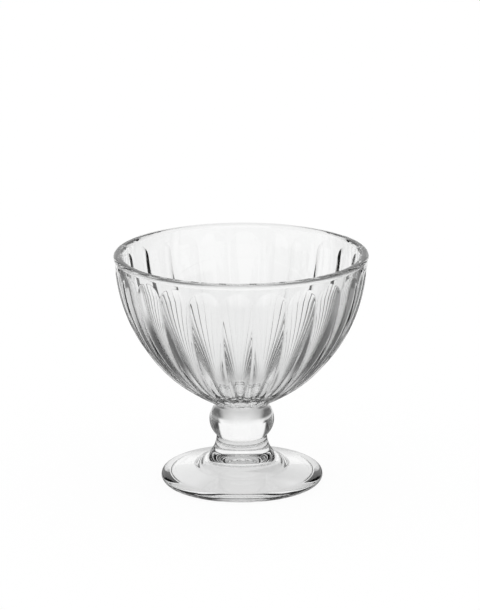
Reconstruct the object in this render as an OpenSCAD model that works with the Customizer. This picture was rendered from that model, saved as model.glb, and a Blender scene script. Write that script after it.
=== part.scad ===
// Pressed-glass parfait coupe: an open fluted bowl on a ball stem and a round foot.
// Millimetres, +Z up. The origin is on the axis, in the plane that the foot stands on.

/* [Overall] */
// Height from the table to the top of the rim
glass_h = 104; // [98:1:130]
// Diameter over the rolled rim
rim_d = 112; // [100:1:124]
// Diameter of the foot
foot_d = 72; // [60:1:96]

/* [Rim] */
// Width of the rolled rim, from its outer edge to the cup's mouth
rim_w = 4; // [3.4:0.1:5]
// Radius of the rolled rim's outer round
rim_outer_r = 1.3; // [0.8:0.1:2]
// Radius of the rolled rim's inner round
rim_inner_r = 1.6; // [0.8:0.1:2]
// How far the rolled rim stands out past the bowl's side
rim_step = 0.5; // [0.1:0.1:1]

/* [Bowl] */
// Thickness of the wall between the arc of the bowl's side and the arc of the cup's
side_t = 2.6; // [2.2:0.1:4]
// Height of the cup's floor above the upper waist
base_t = 7.2; // [6:0.1:12]
// Radius of the round corner between the cup's floor and its side
cup_corner_r = 24; // [12:1:30]
// Height of the plain collar under the bowl's side
collar_h = 1; // [0.5:0.1:2]

/* [Flutes] */
// Number of flutes round the bowl
flute_count = 24; // [16:2:30]
// Cross radius of a flute's hollow under its arched top
flute_top_r = 35; // [24:1:45]
// Cross radius of a flute's hollow at its low end
flute_low_r = 9; // [6:0.5:16]
// Depth of a flute under its arched top
flute_top_depth = 1.05; // [0.8:0.05:1.6]
// Depth of a flute halfway up
flute_mid_depth = 1.5; // [1:0.05:2]
// Depth of a flute at its low end
flute_low_depth = 0.2; // [0.1:0.05:0.6]
// Drop from the rim's top to where the flutes are at full width
flute_top_drop = 10.2; // [9:0.1:16]
// Rise from the collar's top to where the low depth is set
flute_low_rise = 2; // [1:0.1:6]
// Turn of the whole ring of flutes about the axis, in degrees
flute_turn = -1.7; // [-7.5:0.1:7.5]

/* [Knop] */
// Diameter of the glass ball
knop_d = 28.8; // [26:0.1:34]
// Height of the ball's middle above the table
knop_h = 27.9; // [27:0.1:31]
// Diameter of the waist between the ball and the foot
lower_waist_d = 22.4; // [18:0.1:24]
// Height of the waist between the ball and the foot
lower_waist_h = 20.8; // [18:0.1:22]
// Diameter of the waist between the ball and the bowl
upper_waist_d = 23.4; // [20:0.1:26]
// Height of the waist between the ball and the bowl
upper_waist_h = 34.8; // [33:0.1:37]

/* [Foot] */
// Height of the foot's rounded edge
foot_edge_h = 4.6; // [3.6:0.1:6]
// Slope of the foot's top, in degrees
foot_slope = 15; // [8:0.5:18]
// Width of the ring that the foot stands on, from the foot's outer edge
rest_ring_w = 5.4; // [3:0.1:8]
// Height of the step from the ring up to the hollow under the foot
hollow_step = 0.7; // [0.3:0.1:1.5]
// Diameter of the dome over the hollow's middle
dome_d = 40; // [34:0.5:46]
// Rise of the dome above the hollow's cone
dome_rise = 8; // [6:0.1:9]

/* [Hidden] */
$fn = 180;
glass_tint = [0.86, 0.91, 0.91, 0.45];
overrun = 1;

// Points in this file are [distance from the axis, height]
function unit(v) = v / norm(v);
function turned(v) = [-v[1], v[0]];
function at_height(centre, r, h) = [centre[0] + sqrt(r * r - (h - centre[1]) ^ 2), h];
// Radius of an arc that is upright at its widest and draws in by an inset over a rise
function arc_r(inset, rise) = (inset ^ 2 + rise ^ 2) / (2 * inset);
function centre_through(a, b, c) =
    let (ab = b - a, ac = c - a)
    a + [ac[1] * (ab * ab) - ab[1] * (ac * ac), ab[0] * (ac * ac) - ac[0] * (ab * ab)] / (2 * cross(ab, ac));

// The bowl's side is one arc, upright where it meets the rolled rim, down to the collar over the upper waist
bowl_r = rim_d / 2 - rim_step;
upper_waist_r = upper_waist_d / 2;
collar_top_h = upper_waist_h + collar_h;
bowl_arc_r = arc_r(bowl_r - upper_waist_r, glass_h - rim_outer_r - collar_top_h);
bowl_centre = [bowl_r - bowl_arc_r, glass_h - rim_outer_r];

// The cup's side is one arc, upright at the mouth, and a round corner leads it into the floor
mouth_r = rim_d / 2 - rim_w;
cup_arc_r = bowl_arc_r - side_t;
cup_centre = [mouth_r - cup_arc_r, glass_h - rim_inner_r];
floor_h = upper_waist_h + base_t;
corner_reach = cup_arc_r - cup_corner_r;
corner_centre = at_height(cup_centre, corner_reach, floor_h + cup_corner_r);
corner_end = cup_centre + unit(corner_centre - cup_centre) * cup_arc_r;

// A flute's bottom line is the arc through three points at its depths under the bowl's side
function under_side(h, depth) =
    let (p = at_height(bowl_centre, bowl_arc_r, h))
    p - unit(p - bowl_centre) * depth;
flute_top_h = glass_h - flute_top_drop;
flute_low_h = collar_top_h + flute_low_rise;
flute_top = under_side(flute_top_h, flute_top_depth);
flute_mid = under_side((flute_top_h + flute_low_h) / 2, flute_mid_depth);
flute_low = under_side(flute_low_h, flute_low_depth);
flute_centre = centre_through(flute_top, flute_mid, flute_low);
flute_arc_r = norm(flute_top - flute_centre);

// The flute's cutter is a spool with its axis outside the bowl, in the flute's own upright plane
spool_top = flute_top + unit(flute_top - flute_centre) * flute_top_r;
spool_low = flute_low + unit(flute_low - flute_centre) * flute_low_r;
spool_axis = unit(spool_top - spool_low);
// How far the spool is built to either side of its flute's middle, in degrees
spool_half_angle = 26.5;
// Neighbouring flutes are cut in different passes
spool_passes = 2;
// The spool's ball stands a hair past its side, so that the two cross instead of just touching
ball_proud = 0.02;
function on_spool(p) = [(p - spool_low) * turned(spool_axis), (p - spool_low) * spool_axis];

// The ball bulges between the two waists, on one arc above its middle and another below
knop_r = knop_d / 2;
lower_waist_r = lower_waist_d / 2;

// The foot's edge is a full round, its top a shallow cone, and one sweep leads the cone into the stem
foot_r = foot_d / 2;
edge_r = foot_edge_h / 2;
edge_centre = [foot_r - edge_r, edge_r];
slope_normal = [sin(foot_slope), cos(foot_slope)];
cone_end = edge_centre + edge_r * slope_normal;
sweep_r = (slope_normal * ([lower_waist_r, lower_waist_h] - cone_end)) / (1 - slope_normal[0]);
sweep_centre = [lower_waist_r + sweep_r, lower_waist_h];
sweep_start = sweep_centre - sweep_r * slope_normal;

// The hollow under the foot is a cone that runs with the top's, and a dome over its middle
ring_inner_r = foot_r - rest_ring_w;
dome_edge = [dome_d / 2, hollow_step + (ring_inner_r - dome_d / 2) * tan(foot_slope)];
dome_r = (dome_edge[0] ^ 2 + dome_rise ^ 2) / (2 * dome_rise);

module disc(centre, r) {
    translate(centre) circle(r = r);
}

module band(outer_r, low, high) {
    translate([0, low]) square([outer_r, high - low]);
}

// Section of the cup's hollow
module cup_section() {
    intersection() {
        disc(cup_centre, cup_arc_r);
        band(mouth_r, corner_end[1], cup_centre[1]);
    }
    intersection() {
        disc(corner_centre, cup_corner_r);
        band(mouth_r, floor_h, glass_h);
    }
    polygon([[0, floor_h], [corner_centre[0], floor_h], corner_end, [0, corner_end[1]]]);
}

// Section of the rolled rim
module rim_section() {
    inner_x = mouth_r + rim_inner_r;
    outer_x = rim_d / 2 - rim_outer_r;
    disc([inner_x, glass_h - rim_inner_r], rim_inner_r);
    disc([outer_x, glass_h - rim_outer_r], rim_outer_r);
    translate([inner_x, cup_centre[1] - rim_inner_r])
        square([outer_x - inner_x, 2 * rim_inner_r]);
}

module bowl_section() {
    difference() {
        intersection() {
            disc(bowl_centre, bowl_arc_r);
            band(rim_d, collar_top_h, cup_centre[1]);
        }
        cup_section();
    }
    band(upper_waist_r, upper_waist_h, collar_top_h);
    rim_section();
}

// Half section of the spool that cuts one flute: a ball at its upper end makes the arched top
module spool_section() {
    ball = on_spool(spool_top);
    top = on_spool(flute_top);
    low = on_spool(at_height(flute_centre, flute_arc_r, collar_top_h));
    reach = 2 * flute_top_r;
    intersection() {
        disc(ball, flute_top_r + ball_proud);
        translate([0, low[1]]) square(2 * reach);
    }
    difference() {
        polygon([[0, low[1]], [reach, low[1]], 2 * top - ball, ball]);
        disc(on_spool(flute_centre), flute_arc_r);
    }
}

// Only the side of the spool that faces the bowl is built
module flute_cutter() {
    translate([spool_low[0], 0, spool_low[1]])
        rotate([0, atan2(spool_axis[0], spool_axis[1]), 0])
            rotate([0, 0, 180 - spool_half_angle])
                rotate_extrude(angle = 2 * spool_half_angle) spool_section();
}

// Cuts one pass of flutes out of its children, counted from the first flute
module fluted(first) {
    difference() {
        children();
        for (i = [first:spool_passes:flute_count - 1])
            rotate([0, 0, flute_turn - 90 + i * 360 / flute_count]) flute_cutter();
    }
}

// Open cup with a rolled rim and a ring of flutes pressed into its outside
module bowl() {
    color(glass_tint)
        fluted(1) fluted(0) rotate_extrude() bowl_section();
}

module bulge_section(waist_r, waist_h) {
    r = arc_r(knop_r - waist_r, abs(waist_h - knop_h));
    low = min(waist_h, knop_h);
    high = max(waist_h, knop_h);
    intersection() {
        disc([knop_r - r, knop_h], r);
        band(knop_r, low, high);
    }
    band(knop_r - r, low, high);
}

// Solid glass ball between the two waists
module knop() {
    color(glass_tint)
        rotate_extrude() {
            bulge_section(upper_waist_r, upper_waist_h);
            bulge_section(lower_waist_r, lower_waist_h);
        }
}

// Section of the hollow under the foot
module hollow_section() {
    polygon([
        [0, -overrun], [ring_inner_r, -overrun], [ring_inner_r, hollow_step],
        dome_edge, [0, dome_edge[1]]
    ]);
    intersection() {
        disc([0, dome_edge[1] + dome_rise - dome_r], dome_r);
        band(dome_edge[0], dome_edge[1], lower_waist_h);
    }
}

// Round base that sweeps up into a short neck
module foot() {
    color(glass_tint)
        rotate_extrude()
            difference() {
                union() {
                    difference() {
                        polygon([
                            [0, 0], [edge_centre[0], 0], edge_centre, cone_end, sweep_start,
                            [lower_waist_r, lower_waist_h], [0, lower_waist_h]
                        ]);
                        disc(sweep_centre, sweep_r);
                    }
                    disc(edge_centre, edge_r);
                }
                hollow_section();
            }
}

bowl();
knop();
foot();
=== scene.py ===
import math

import bpy
import numpy as np
from mathutils import Matrix, Vector


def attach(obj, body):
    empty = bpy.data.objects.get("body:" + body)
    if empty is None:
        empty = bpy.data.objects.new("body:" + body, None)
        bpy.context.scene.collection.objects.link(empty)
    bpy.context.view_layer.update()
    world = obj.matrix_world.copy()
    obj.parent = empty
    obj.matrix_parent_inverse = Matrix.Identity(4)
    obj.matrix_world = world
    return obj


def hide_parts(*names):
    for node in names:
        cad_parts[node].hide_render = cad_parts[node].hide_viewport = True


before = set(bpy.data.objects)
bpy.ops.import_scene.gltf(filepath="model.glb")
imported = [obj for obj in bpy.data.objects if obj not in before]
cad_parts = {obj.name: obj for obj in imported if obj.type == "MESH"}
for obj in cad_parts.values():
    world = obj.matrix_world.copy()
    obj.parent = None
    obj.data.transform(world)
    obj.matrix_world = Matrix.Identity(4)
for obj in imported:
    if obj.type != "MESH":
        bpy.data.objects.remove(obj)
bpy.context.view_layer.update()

# Sizes of the glass in millimetres, the same as in the part
MM = 0.001
GLASS_H = 104.0
RIM_R = 56.0
RIM_W = 4.0
RIM_OUTER_R = 1.3
RIM_INNER_R = 1.6
RIM_STEP = 0.5
SIDE_T = 2.6
UPPER_WAIST_R = 11.7
COLLAR_H = 1.0
FLOOR_H = 42.0
CUP_CORNER_R = 24.0
UPPER_WAIST_H = 34.8
COLLAR_TOP_H = UPPER_WAIST_H + COLLAR_H
LOWER_WAIST_H = 20.8
LOWER_WAIST_R = 11.2
KNOP_H = 27.9
KNOP_R = 14.4
FOOT_R = 36.0
FOOT_EDGE_R = 2.3
FOOT_SLOPE = math.radians(15.0)
REST_RING_W = 5.4
HOLLOW_STEP = 0.7
DOME_R = 20.0
DOME_RISE = 8.0

# Flutes: the cutter is a spool with a ball end, its axis outside the bowl in the flute's upright plane
FLUTE_COUNT = 24
FLUTE_TURN = math.radians(-1.7)
FLUTE_TOP_H = 93.8
FLUTE_LOW_H = 37.8
FLUTE_TOP_R = 35.0
FLUTE_LOW_R = 9.0
FLUTE_TOP_DEPTH = 1.05
FLUTE_MID_DEPTH = 1.5
FLUTE_LOW_DEPTH = 0.2
CELL = 2 * math.pi / FLUTE_COUNT

# Rounding of the ridges between flutes and of a flute's edge, which goes from the arch's to the land's
# over ARCH_FADE below the arch
RIDGE_ROUND = 0.6
ARCH_ROUND = 0.10
LAND_ROUND = 0.25
ARCH_FADE = 8.0

# Search for the cutter's surface, from inside the plain side to outside it
SEARCH_INWARD = 8.0
SEARCH_OUTWARD = 14.0
SEARCH_LEAST_R = 0.5
SEARCH_HALVINGS = 30

# Mesh: columns round a piece, closer together near the bowl's ridges, and rings up its outline
COLUMNS_PER_FLUTE = 44
RIDGE_CROWDING = 0.45
PLAIN_COLUMNS = 360
SMOOTH_LIMIT = math.radians(40.0)
JOINT_RING_SHARE = 0.5
POLE_R = 0.4

# Heights between which the bowl's outside has a band of rings, and how many each band has
LOW_BAND_TOP_H = 46.0
MIDDLE_BAND_TOP_H = 88.0
RIM_CLEARANCE = 0.05
LOW_BAND_RINGS = 40
MIDDLE_BAND_RINGS = 80
HIGH_BAND_RINGS = 70
RIM_OUTER_RINGS = 16
RIM_INNER_RINGS = 14
RIM_INNER_END = 176.0
CUP_START = -0.6
CUP_RINGS = 70
CUP_CORNER_RINGS = 40
CUP_FLOOR_RINGS = 8

KNOP_LOW_RINGS = 30
KNOP_HIGH_RINGS = 34

DOME_RINGS = 24
HOLLOW_RINGS = 20
EDGE_RINGS = 30
CONE_RINGS = 26
SWEEP_RINGS = 40
# Where the hollow ends short of the step to the standing ring: (inwards, upwards)
HOLLOW_END = (0.3, 0.08)
# The softened step from the hollow down to the ring: (outwards from its inner edge, height)
RING_STEP = ((0.0, HOLLOW_STEP - 0.15), (0.12, 0.2), (0.35, 0.03), (0.7, 0.0))


def arc_height_to_radius(centre, radius, height):
    """Distance from the glass's axis of a profile arc at one height."""
    return centre[0] + math.sqrt(max(radius ** 2 - (height - centre[1]) ** 2, 0.0))


BOWL_INSET = RIM_R - RIM_STEP - UPPER_WAIST_R
BOWL_RISE = GLASS_H - RIM_OUTER_R - COLLAR_TOP_H
BOWL_ARC_R = (BOWL_INSET ** 2 + BOWL_RISE ** 2) / (2 * BOWL_INSET)
BOWL_CENTRE = (RIM_R - RIM_STEP - BOWL_ARC_R, GLASS_H - RIM_OUTER_R)
CUP_ARC_R = BOWL_ARC_R - SIDE_T
CUP_CENTRE = (RIM_R - RIM_W - CUP_ARC_R, GLASS_H - RIM_INNER_R)


def column_angles():
    """Angles of the mesh's columns from a flute's middle, closer together near the ridges."""
    share = np.linspace(-1.0, 1.0, COLUMNS_PER_FLUTE, endpoint=False)
    crowded = share + RIDGE_CROWDING * np.sin(math.pi * share) / math.pi
    one_flute = crowded * CELL / 2
    turns = np.arange(FLUTE_COUNT)[:, None] * CELL
    return (turns + one_flute[None, :]).ravel(), np.tile(one_flute, FLUTE_COUNT)


COLUMN_ANGLE, FROM_FLUTE = column_angles()
PLAIN_ANGLE = np.linspace(0.0, 2 * math.pi, PLAIN_COLUMNS, endpoint=False)


class FluteCutter:
    """The spool that cuts one flute, as a test of depth for points in the flute's own frame."""

    def __init__(self):
        top = self.under_side(FLUTE_TOP_H, FLUTE_TOP_DEPTH)
        middle = self.under_side((FLUTE_TOP_H + FLUTE_LOW_H) / 2, FLUTE_MID_DEPTH)
        low = self.under_side(FLUTE_LOW_H, FLUTE_LOW_DEPTH)
        centre = self.centre_through(top, middle, low)
        self.arc_r = np.linalg.norm(top - centre)
        self.axis_low = low + (low - centre) / self.arc_r * FLUTE_LOW_R
        axis_top = top + (top - centre) / self.arc_r * FLUTE_TOP_R
        self.along = (axis_top - self.axis_low) / np.linalg.norm(axis_top - self.axis_low)
        self.across = np.array([-self.along[1], self.along[0]])
        self.centre_s, self.centre_q = self.on_spool(centre)
        self.top_s, self.top_q = self.on_spool(top)
        self.ball_s = self.on_spool(axis_top)[0]

    @staticmethod
    def under_side(height, depth):
        """A point at this depth under the bowl's plain side."""
        point = np.array([arc_height_to_radius(BOWL_CENTRE, BOWL_ARC_R, height), height])
        return point - (point - np.array(BOWL_CENTRE)) / BOWL_ARC_R * depth

    @staticmethod
    def centre_through(a, b, c):
        """Centre of the circle through three points."""
        ab = b - a
        ac = c - a
        turn = 2 * (ab[0] * ac[1] - ab[1] * ac[0])
        across = np.array([ac[1] * (ab @ ab) - ab[1] * (ac @ ac), ab[0] * (ac @ ac) - ac[0] * (ab @ ab)])
        return a + across / turn

    def on_spool(self, point):
        offset = point - self.axis_low
        return float(offset @ self.along), float(offset @ self.across)

    def inside(self, radius, height, angle):
        """True where the cutter removes glass."""
        x = radius * np.cos(angle) - self.axis_low[0]
        y = radius * np.sin(angle)
        z = height - self.axis_low[1]
        s = x * self.along[0] + z * self.along[1]
        off = x * self.across[0] + z * self.across[1]
        q = np.sqrt(off * off + y * y)
        side = self.centre_q - np.sqrt(np.maximum(self.arc_r ** 2 - (s - self.centre_s) ** 2, 0.0))
        over = (s - self.ball_s) * self.top_q - q * (self.top_s - self.ball_s) > 0
        ball = np.sqrt(q * q + (s - self.ball_s) ** 2) < FLUTE_TOP_R
        return np.where(over, ball, q < side)

    def cut_radius(self, height, angle, plain):
        """Distance from the glass's axis at which the cutter's surface lies, by halving."""
        low = np.full_like(angle, max(plain - SEARCH_INWARD, SEARCH_LEAST_R))
        high = np.full_like(angle, plain + SEARCH_OUTWARD)
        for _ in range(SEARCH_HALVINGS):
            middle = (low + high) / 2
            cut = self.inside(middle, height, angle)
            high = np.where(cut, middle, high)
            low = np.where(cut, low, middle)
        return (low + high) / 2


def smooth_min(a, b, width):
    share = np.clip(0.5 + 0.5 * (b - a) / width, 0.0, 1.0)
    return b * (1 - share) + a * share - width * share * (1 - share)


def fluted_radii(cutter, height):
    """Radii of all columns at one height of the bowl's outside."""
    plain = arc_height_to_radius(BOWL_CENTRE, BOWL_ARC_R, height)
    per = COLUMNS_PER_FLUTE
    angle = np.abs(FROM_FLUTE[:per])
    own = cutter.cut_radius(height, angle, plain)
    neighbour = cutter.cut_radius(height, CELL - angle, plain)
    ridge = smooth_min(own, neighbour, RIDGE_ROUND)
    below_arch = min(max((FLUTE_TOP_H - height) / ARCH_FADE, 0.0), 1.0)
    edge_round = ARCH_ROUND + (LAND_ROUND - ARCH_ROUND) * below_arch
    one = smooth_min(np.full_like(ridge, plain), ridge, edge_round)
    return np.tile(one, FLUTE_COUNT)


def arc_points(centre, radius, start, end, count):
    """Profile points along an arc, angles in degrees from the outward direction."""
    return [
        (centre[0] + radius * math.cos(math.radians(a)), centre[1] + radius * math.sin(math.radians(a)))
        for a in np.linspace(start, end, count)
    ]


def line_points(start, end, count):
    return [
        (start[0] + (end[0] - start[0]) * t, start[1] + (end[1] - start[1]) * t)
        for t in np.linspace(0.0, 1.0, count)
    ]


def turned_piece(name, rings, around, joint_low, joint_high):
    """A closed piece from rings of (radius or radii, height), with a fan over each end.

    The angles of its columns are given by around.
    The faces of an end where the glass goes on in the next piece get the joint's material.
    """
    columns = len(around)
    verts = []
    for radius, height in rings:
        r = np.broadcast_to(np.asarray(radius, float), around.shape)
        ring = np.stack([r * np.sin(around), -r * np.cos(around), np.full(columns, height)], axis=-1)
        verts.append(ring * MM)
    first_pole = len(rings) * columns
    last_pole = first_pole + 1
    poles = np.array([[0.0, 0.0, rings[0][1] * MM], [0.0, 0.0, rings[-1][1] * MM]])
    verts = np.concatenate(verts + [poles])
    here = np.arange(columns)
    nxt = (here + 1) % columns
    faces = []
    for i in range(len(rings) - 1):
        a = i * columns
        b = a + columns
        faces.extend(np.stack([a + here, a + nxt, b + nxt, b + here], axis=-1).tolist())
    low_fan = np.stack([nxt, here, np.full(columns, first_pole)], axis=-1).tolist()
    end = (len(rings) - 1) * columns
    high_fan = np.stack([end + here, end + nxt, np.full(columns, last_pole)], axis=-1).tolist()
    side_count = len(faces)
    faces.extend(low_fan)
    faces.extend(high_fan)
    mesh = bpy.data.meshes.new(name)
    mesh.from_pydata(verts.tolist(), [], faces)
    mesh.update()
    slots = np.zeros(len(faces), dtype=np.int32)
    if joint_low:
        slots[:columns] = 1
        slots[side_count:side_count + columns] = 1
    if joint_high:
        slots[side_count - columns:side_count] = 1
        slots[side_count + columns:] = 1
    mesh.polygons.foreach_set("material_index", slots)
    mesh.polygons.foreach_set("use_smooth", np.ones(len(faces), dtype=bool))
    mesh.set_sharp_from_angle(angle=SMOOTH_LIMIT)
    piece = bpy.data.objects.new(name, mesh)
    bpy.context.scene.collection.objects.link(piece)
    return piece


def bowl_rings():
    """Outside from the waist up, over the rolled rim, and down the cup's inside to its floor."""
    cutter = FluteCutter()
    outer_centre = (RIM_R - RIM_OUTER_R, GLASS_H - RIM_OUTER_R)
    inner_centre = (RIM_R - RIM_W + RIM_INNER_R, GLASS_H - RIM_INNER_R)
    bead_start = -math.degrees(math.acos((RIM_R - RIM_STEP - outer_centre[0]) / RIM_OUTER_R))
    bead_low = outer_centre[1] + RIM_OUTER_R * math.sin(math.radians(bead_start))
    heights = np.concatenate([
        np.linspace(COLLAR_TOP_H, LOW_BAND_TOP_H, LOW_BAND_RINGS),
        np.linspace(LOW_BAND_TOP_H, MIDDLE_BAND_TOP_H, MIDDLE_BAND_RINGS)[1:],
        np.linspace(MIDDLE_BAND_TOP_H, bead_low - RIM_CLEARANCE, HIGH_BAND_RINGS)[1:],
    ])
    rings = [(UPPER_WAIST_R * JOINT_RING_SHARE, UPPER_WAIST_H), (UPPER_WAIST_R, UPPER_WAIST_H)]
    rings += [(fluted_radii(cutter, h), h) for h in heights]
    rings += arc_points(outer_centre, RIM_OUTER_R, bead_start, 90.0, RIM_OUTER_RINGS)
    rings += arc_points(inner_centre, RIM_INNER_R, 90.0, RIM_INNER_END, RIM_INNER_RINGS)
    reach = CUP_ARC_R - CUP_CORNER_R
    corner_h = FLOOR_H + CUP_CORNER_R
    corner = (arc_height_to_radius(CUP_CENTRE, reach, corner_h), corner_h)
    corner_angle = math.degrees(math.atan2(corner[1] - CUP_CENTRE[1], corner[0] - CUP_CENTRE[0]))
    rings += arc_points(CUP_CENTRE, CUP_ARC_R, CUP_START, corner_angle, CUP_RINGS)
    rings += arc_points(corner, CUP_CORNER_R, corner_angle, -90.0, CUP_CORNER_RINGS)[1:]
    rings += line_points((corner[0], FLOOR_H), (POLE_R, FLOOR_H), CUP_FLOOR_RINGS)[1:]
    return rings


def bulge_points(waist_r, waist_h, count, upwards):
    """Half of the ball's side, between one waist and the ball's middle."""
    inset = KNOP_R - waist_r
    rise = abs(waist_h - KNOP_H)
    radius = (inset ** 2 + rise ** 2) / (2 * inset)
    centre = (KNOP_R - radius, KNOP_H)
    heights = np.linspace(KNOP_H, waist_h, count) if upwards else np.linspace(waist_h, KNOP_H, count)
    return [(arc_height_to_radius(centre, radius, h), h) for h in heights]


def knop_rings():
    """From the lower waist's joint over the ball to the upper waist's joint."""
    rings = [(LOWER_WAIST_R * JOINT_RING_SHARE, LOWER_WAIST_H)]
    rings += bulge_points(LOWER_WAIST_R, LOWER_WAIST_H, KNOP_LOW_RINGS, False)
    rings += bulge_points(UPPER_WAIST_R, UPPER_WAIST_H, KNOP_HIGH_RINGS, True)[1:]
    rings += [(UPPER_WAIST_R * JOINT_RING_SHARE, UPPER_WAIST_H)]
    return rings


def foot_rings():
    """From the dome over the hollow's middle, out to the ring, round the edge and up into the neck."""
    slope_normal = np.array([math.sin(FOOT_SLOPE), math.cos(FOOT_SLOPE)])
    edge_centre = np.array([FOOT_R - FOOT_EDGE_R, FOOT_EDGE_R])
    cone_end = edge_centre + FOOT_EDGE_R * slope_normal
    waist = np.array([LOWER_WAIST_R, LOWER_WAIST_H])
    sweep_r = float(slope_normal @ (waist - cone_end)) / (1 - slope_normal[0])
    sweep_centre = (LOWER_WAIST_R + sweep_r, LOWER_WAIST_H)
    ring_r = FOOT_R - REST_RING_W
    dome_edge_h = HOLLOW_STEP + (ring_r - DOME_R) * math.tan(FOOT_SLOPE)
    dome_arc_r = (DOME_R ** 2 + DOME_RISE ** 2) / (2 * DOME_RISE)
    dome_centre = (0.0, dome_edge_h + DOME_RISE - dome_arc_r)
    dome_start = math.degrees(math.acos(POLE_R / dome_arc_r))
    dome_end = math.degrees(math.acos(DOME_R / dome_arc_r))
    hollow_end = (ring_r - HOLLOW_END[0], HOLLOW_STEP + HOLLOW_END[1])
    slope = math.degrees(FOOT_SLOPE)
    sweep = arc_points(sweep_centre, sweep_r, 270.0 - slope, 180.0, SWEEP_RINGS)
    rings = arc_points(dome_centre, dome_arc_r, dome_start, dome_end, DOME_RINGS)
    rings += line_points((DOME_R, dome_edge_h), hollow_end, HOLLOW_RINGS)[1:]
    rings += [(ring_r + out, height) for out, height in RING_STEP]
    rings += [(float(edge_centre[0]), 0.0)]
    rings += arc_points(edge_centre, FOOT_EDGE_R, -90.0, 90.0 - slope, EDGE_RINGS)[1:]
    rings += line_points(tuple(cone_end), sweep[0], CONE_RINGS)[1:-1]
    rings += sweep
    rings += [(LOWER_WAIST_R * JOINT_RING_SHARE, LOWER_WAIST_H)]
    return rings


# Materials

GLASS_COLOUR = (0.972, 0.974, 0.973, 1.0)
GLASS_IOR = 1.51
WAVE_SCALE = 90.0
WAVE_DETAIL = 1.5
WAVE_ROUGHNESS = 0.4
WAVE_STRENGTH = 0.35
WAVE_DEPTH = 0.00002


def glass_material():
    """Clear pressed glass, fire-polished, with the faint waviness that pressing leaves."""
    material = bpy.data.materials.new("clear_pressed_glass")
    material.use_nodes = True
    tree = material.node_tree
    tree.nodes.clear()
    output = tree.nodes.new("ShaderNodeOutputMaterial")
    glass = tree.nodes.new("ShaderNodeBsdfPrincipled")
    glass.inputs["Base Color"].default_value = GLASS_COLOUR
    glass.inputs["Transmission Weight"].default_value = 1.0
    glass.inputs["Roughness"].default_value = 0.0
    glass.inputs["IOR"].default_value = GLASS_IOR
    tree.links.new(glass.outputs["BSDF"], output.inputs["Surface"])
    place = tree.nodes.new("ShaderNodeTexCoord")
    waves = tree.nodes.new("ShaderNodeTexNoise")
    waves.inputs["Scale"].default_value = WAVE_SCALE
    waves.inputs["Detail"].default_value = WAVE_DETAIL
    waves.inputs["Roughness"].default_value = WAVE_ROUGHNESS
    bump = tree.nodes.new("ShaderNodeBump")
    bump.inputs["Strength"].default_value = WAVE_STRENGTH
    bump.inputs["Distance"].default_value = WAVE_DEPTH
    tree.links.new(place.outputs["Object"], waves.inputs["Vector"])
    tree.links.new(waves.outputs["Fac"], bump.inputs["Height"])
    tree.links.new(bump.outputs["Normal"], glass.inputs["Normal"])
    return material


def joint_material():
    """The faces where two pieces of the one glass body meet let light straight through."""
    material = bpy.data.materials.new("inside_joint")
    material.use_nodes = True
    shader = material.node_tree.nodes["Principled BSDF"]
    shader.inputs["Alpha"].default_value = 0.0
    return material


glass = glass_material()
joint = joint_material()
bowl = turned_piece("fluted_bowl", bowl_rings(), COLUMN_ANGLE + FLUTE_TURN, True, False)
knop = turned_piece("ball_knop", knop_rings(), PLAIN_ANGLE, True, True)
foot = turned_piece("round_foot", foot_rings(), PLAIN_ANGLE, False, True)
for piece, node in ((bowl, "bowl"), (knop, "knop"), (foot, "foot")):
    piece.data.materials.append(glass)
    piece.data.materials.append(joint)
    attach(piece, "root")
    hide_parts(node)


# Surroundings

def node_value(tree, operation, *inputs, clamp=False):
    node = tree.nodes.new("ShaderNodeMath")
    node.operation = operation
    node.use_clamp = clamp
    for i, value in enumerate(inputs):
        if isinstance(value, (int, float)):
            node.inputs[i].default_value = value
        else:
            tree.links.new(value, node.inputs[i])
    return node.outputs[0]


def seen_share(tree):
    """1 for camera, glossy and transmission rays."""
    path = tree.nodes.new("ShaderNodeLightPath")
    seen = node_value(tree, "MAXIMUM", path.outputs["Is Camera Ray"], path.outputs["Is Glossy Ray"])
    return node_value(tree, "MAXIMUM", seen, path.outputs["Is Transmission Ray"])


FLOOR_SIZE = 8.0
# The floor lies a hair under the glass, so that the two don't share a plane
FLOOR_DROP = 0.00005
FLOOR_MATT = 0.08

# What clear glass and gloss see of the studio: a bright backdrop behind the glass and darker walls beside it.
# Floor levels by distance from the glass, a painted soft shadow that is darker under and close round the
# glass and that only glass and gloss see: each stop is (share of FLOOR_REACH, level).
FLOOR_REACH = 0.8
FLOOR_PAINTED_SHADE = (
    (0.0, 0.72), (0.050, 0.72), (0.066, 0.56), (0.090, 0.58), (0.125, 0.68),
    (0.19, 0.77), (0.28, 0.84), (0.50, 0.90), (0.80, 0.92), (1.0, 0.92),
)
# Shares of that level by direction. Angles are degrees from the far side, positive towards +X.
WALL = 0.08
LEFT_FAR_WALL = 0.7
RIGHT_FAR_WALL = 0.25
NEAR_RING = ((-180.0, 1.0), (40.0, 1.0), (55.0, 0.85), (110.0, 0.85), (125.0, 1.0), (180.0, 1.0))
MIDDLE_RING = (
    (-180.0, 0.9), (-112.0, 0.9), (-104.0, WALL), (-29.0, WALL), (-20.0, 0.75), (-9.0, 1.0),
    (9.0, 1.0), (20.0, 0.75), (29.0, WALL), (104.0, WALL), (112.0, 0.9), (180.0, 0.9),
)
FAR_RING = (
    (-180.0, 0.5), (-125.0, 0.9), (-74.0, 0.95), (-68.0, LEFT_FAR_WALL), (-35.0, LEFT_FAR_WALL), (-29.0, 1.0),
    (29.0, 1.0), (35.0, RIGHT_FAR_WALL), (104.0, RIGHT_FAR_WALL), (112.0, 0.9), (150.0, 0.9), (180.0, 0.5),
)
OUTER_RING = (
    (-180.0, 0.5), (-125.0, 0.9), (-74.0, 0.95), (-68.0, WALL), (-35.0, WALL), (-29.0, 1.0),
    (29.0, 1.0), (35.0, WALL), (104.0, WALL), (112.0, 0.9), (150.0, 0.9), (180.0, 0.5),
)
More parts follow.
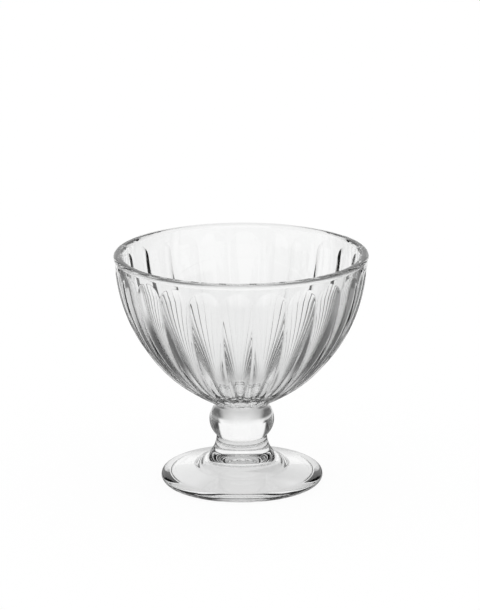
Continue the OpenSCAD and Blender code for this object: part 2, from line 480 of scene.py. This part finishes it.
# Radii in metres at which the floor turns from one ring to the next
NEAR_TO_MIDDLE = (0.04, 0.07)
MIDDLE_TO_FAR = (0.12, 0.20)
FAR_TO_OUTER = (0.30, 0.38)
FLOOR_SEEN = 0.93

WORLD_LOW = (
    (-180.0, 1.0), (-152.0, 1.0), (-148.0, WALL), (-114.0, WALL), (-110.0, 1.0), (-70.0, 1.0), (-67.0, WALL),
    (-40.0, WALL), (-36.0, 1.0), (34.0, 1.0), (38.0, WALL), (108.0, WALL), (114.0, 1.0), (180.0, 1.0),
)
WORLD_MIDDLE = (
    (-180.0, 1.0), (-152.0, 1.0), (-148.0, WALL), (-40.0, WALL), (-36.0, 1.0),
    (34.0, 1.0), (38.0, WALL), (148.0, WALL), (152.0, 1.0), (180.0, 1.0),
)
WORLD_HIGH_LEVEL = 0.5
# Sines of the elevations at which one band of the world gives way to the next
LOW_TO_MIDDLE = (0.24, 0.30)
MIDDLE_TO_HIGH = (0.60, 0.70)
WORLD_LIGHT = 0.9


def ramp_level(tree, place, stops):
    """Level read from a ramp of (place, level) stops, places from 0 to 1."""
    node = tree.nodes.new("ShaderNodeValToRGB")
    bar = node.color_ramp
    for end, (position, level) in zip(bar.elements, (stops[0], stops[-1])):
        end.position = position
        end.color = (level, level, level, 1.0)
    for position, level in stops[1:-1]:
        bar.elements.new(position).color = (level, level, level, 1.0)
    tree.links.new(place, node.inputs["Fac"])
    return node.outputs["Color"]


def ring_level(tree, angle, stops):
    """Level of the surroundings by angle; angle is 0 to 1 from the near side round by -X."""
    return ramp_level(tree, angle, [(degrees / 360.0 + 0.5, level) for degrees, level in stops])


def angle_share(tree, x, y):
    turn = node_value(tree, "ARCTAN2", x, y)
    return node_value(tree, "MULTIPLY_ADD", turn, 0.5 / math.pi, 0.5)


def step_share(tree, value, start, end):
    node = tree.nodes.new("ShaderNodeMapRange")
    node.interpolation_type = "SMOOTHSTEP"
    node.inputs["From Min"].default_value = start
    node.inputs["From Max"].default_value = end
    tree.links.new(value, node.inputs["Value"])
    return node.outputs["Result"]


def blend_value(tree, share, first, second):
    span = node_value(tree, "SUBTRACT", second, first)
    return node_value(tree, "MULTIPLY_ADD", share, span, first)


def axis_parts(tree, vector):
    parts = tree.nodes.new("ShaderNodeSeparateXYZ")
    tree.links.new(vector, parts.inputs[0])
    return parts.outputs


def make_floor():
    """A pale floor that shows white, with the glass's real shadow in its faint matt part, and painted shade,
    darker under and near the glass, where glass and gloss see it.
    """
    mesh = bpy.data.meshes.new("floor")
    s = FLOOR_SIZE
    mesh.from_pydata([(-s, -s, 0), (s, -s, 0), (s, s, 0), (-s, s, 0)], [], [(0, 1, 2, 3)])
    floor = bpy.data.objects.new("floor", mesh)
    floor.location.z = -FLOOR_DROP
    bpy.context.scene.collection.objects.link(floor)
    material = bpy.data.materials.new("pale_floor")
    material.use_nodes = True
    tree = material.node_tree
    tree.nodes.clear()
    output = tree.nodes.new("ShaderNodeOutputMaterial")
    both = tree.nodes.new("ShaderNodeAddShader")
    matt = tree.nodes.new("ShaderNodeBsdfDiffuse")
    matt.inputs["Color"].default_value = (FLOOR_MATT, FLOOR_MATT, FLOOR_MATT, 1.0)
    glow = tree.nodes.new("ShaderNodeEmission")
    place = tree.nodes.new("ShaderNodeNewGeometry")
    x, y, _ = axis_parts(tree, place.outputs["Position"])
    angle = angle_share(tree, x, y)
    x_squared = node_value(tree, "MULTIPLY", x, x)
    y_squared = node_value(tree, "MULTIPLY", y, y)
    away = node_value(tree, "SQRT", node_value(tree, "ADD", x_squared, y_squared))
    near = ring_level(tree, angle, NEAR_RING)
    middle = ring_level(tree, angle, MIDDLE_RING)
    far = ring_level(tree, angle, FAR_RING)
    outer = ring_level(tree, angle, OUTER_RING)
    share = blend_value(tree, step_share(tree, away, *NEAR_TO_MIDDLE), near, middle)
    share = blend_value(tree, step_share(tree, away, *MIDDLE_TO_FAR), share, far)
    share = blend_value(tree, step_share(tree, away, *FAR_TO_OUTER), share, outer)
    # Painted shade: the glass's soft shadow is painted on the floor by distance from the glass, for glass and
    # gloss to see, while the camera sees even white
    reach = node_value(tree, "MULTIPLY", away, 1.0 / FLOOR_REACH, clamp=True)
    level = node_value(tree, "MULTIPLY", ramp_level(tree, reach, FLOOR_PAINTED_SHADE), share)
    path = tree.nodes.new("ShaderNodeLightPath")
    level = blend_value(tree, path.outputs["Is Camera Ray"], level, FLOOR_SEEN)
    level = node_value(tree, "MULTIPLY", level, seen_share(tree))
    tree.links.new(level, glow.inputs["Strength"])
    tree.links.new(matt.outputs[0], both.inputs[0])
    tree.links.new(glow.outputs[0], both.inputs[1])
    tree.links.new(both.outputs[0], output.inputs["Surface"])
    mesh.materials.append(material)


def make_world():
    world = bpy.data.worlds.new("studio")
    bpy.context.scene.world = world
    world.use_nodes = True
    tree = world.node_tree
    tree.nodes.clear()
    output = tree.nodes.new("ShaderNodeOutputWorld")
    background = tree.nodes.new("ShaderNodeBackground")
    background.inputs["Color"].default_value = (1.0, 1.0, 1.0, 1.0)
    place = tree.nodes.new("ShaderNodeTexCoord")
    x, y, z = axis_parts(tree, place.outputs["Generated"])
    angle = angle_share(tree, x, y)
    low = ring_level(tree, angle, WORLD_LOW)
    middle = ring_level(tree, angle, WORLD_MIDDLE)
    level = blend_value(tree, step_share(tree, z, *LOW_TO_MIDDLE), low, middle)
    level = blend_value(tree, step_share(tree, z, *MIDDLE_TO_HIGH), level, WORLD_HIGH_LEVEL)
    path = tree.nodes.new("ShaderNodeLightPath")
    level = blend_value(tree, path.outputs["Is Camera Ray"], level, 1.0)
    level = blend_value(tree, seen_share(tree), WORLD_LIGHT, level)
    tree.links.new(level, background.inputs["Strength"])
    tree.links.new(background.outputs[0], output.inputs["Surface"])


make_floor()
make_world()


# Camera, at the photograph's viewing angle

CAMERA_DISTANCE = 1343.2
CAMERA_ELEVATION = math.radians(15.32)
CAMERA_ROLL = math.radians(-0.25)
CAMERA_TARGET = (-0.57, 0.0, 80.1)
FOCAL_PIXELS = 3049.3
PHOTO_H = 610
SENSOR = 36.0
CLIP_START = 0.01


def make_camera():
    camera = bpy.data.cameras.new("camera")
    camera.sensor_width = SENSOR
    camera.lens = FOCAL_PIXELS / PHOTO_H * SENSOR
    camera.clip_start = CLIP_START
    holder = bpy.data.objects.new("camera", camera)
    bpy.context.scene.collection.objects.link(holder)
    back = Vector((0.0, -math.cos(CAMERA_ELEVATION), math.sin(CAMERA_ELEVATION)))
    holder.location = (Vector(CAMERA_TARGET) + back * CAMERA_DISTANCE) * MM
    look = (-back).to_track_quat("-Z", "Y")
    roll = Matrix.Rotation(CAMERA_ROLL, 4, "Z").to_quaternion()
    holder.rotation_mode = "QUATERNION"
    holder.rotation_quaternion = look @ roll
    bpy.context.scene.camera = holder


make_camera()
bpy.context.scene.view_settings.view_transform = "Standard"
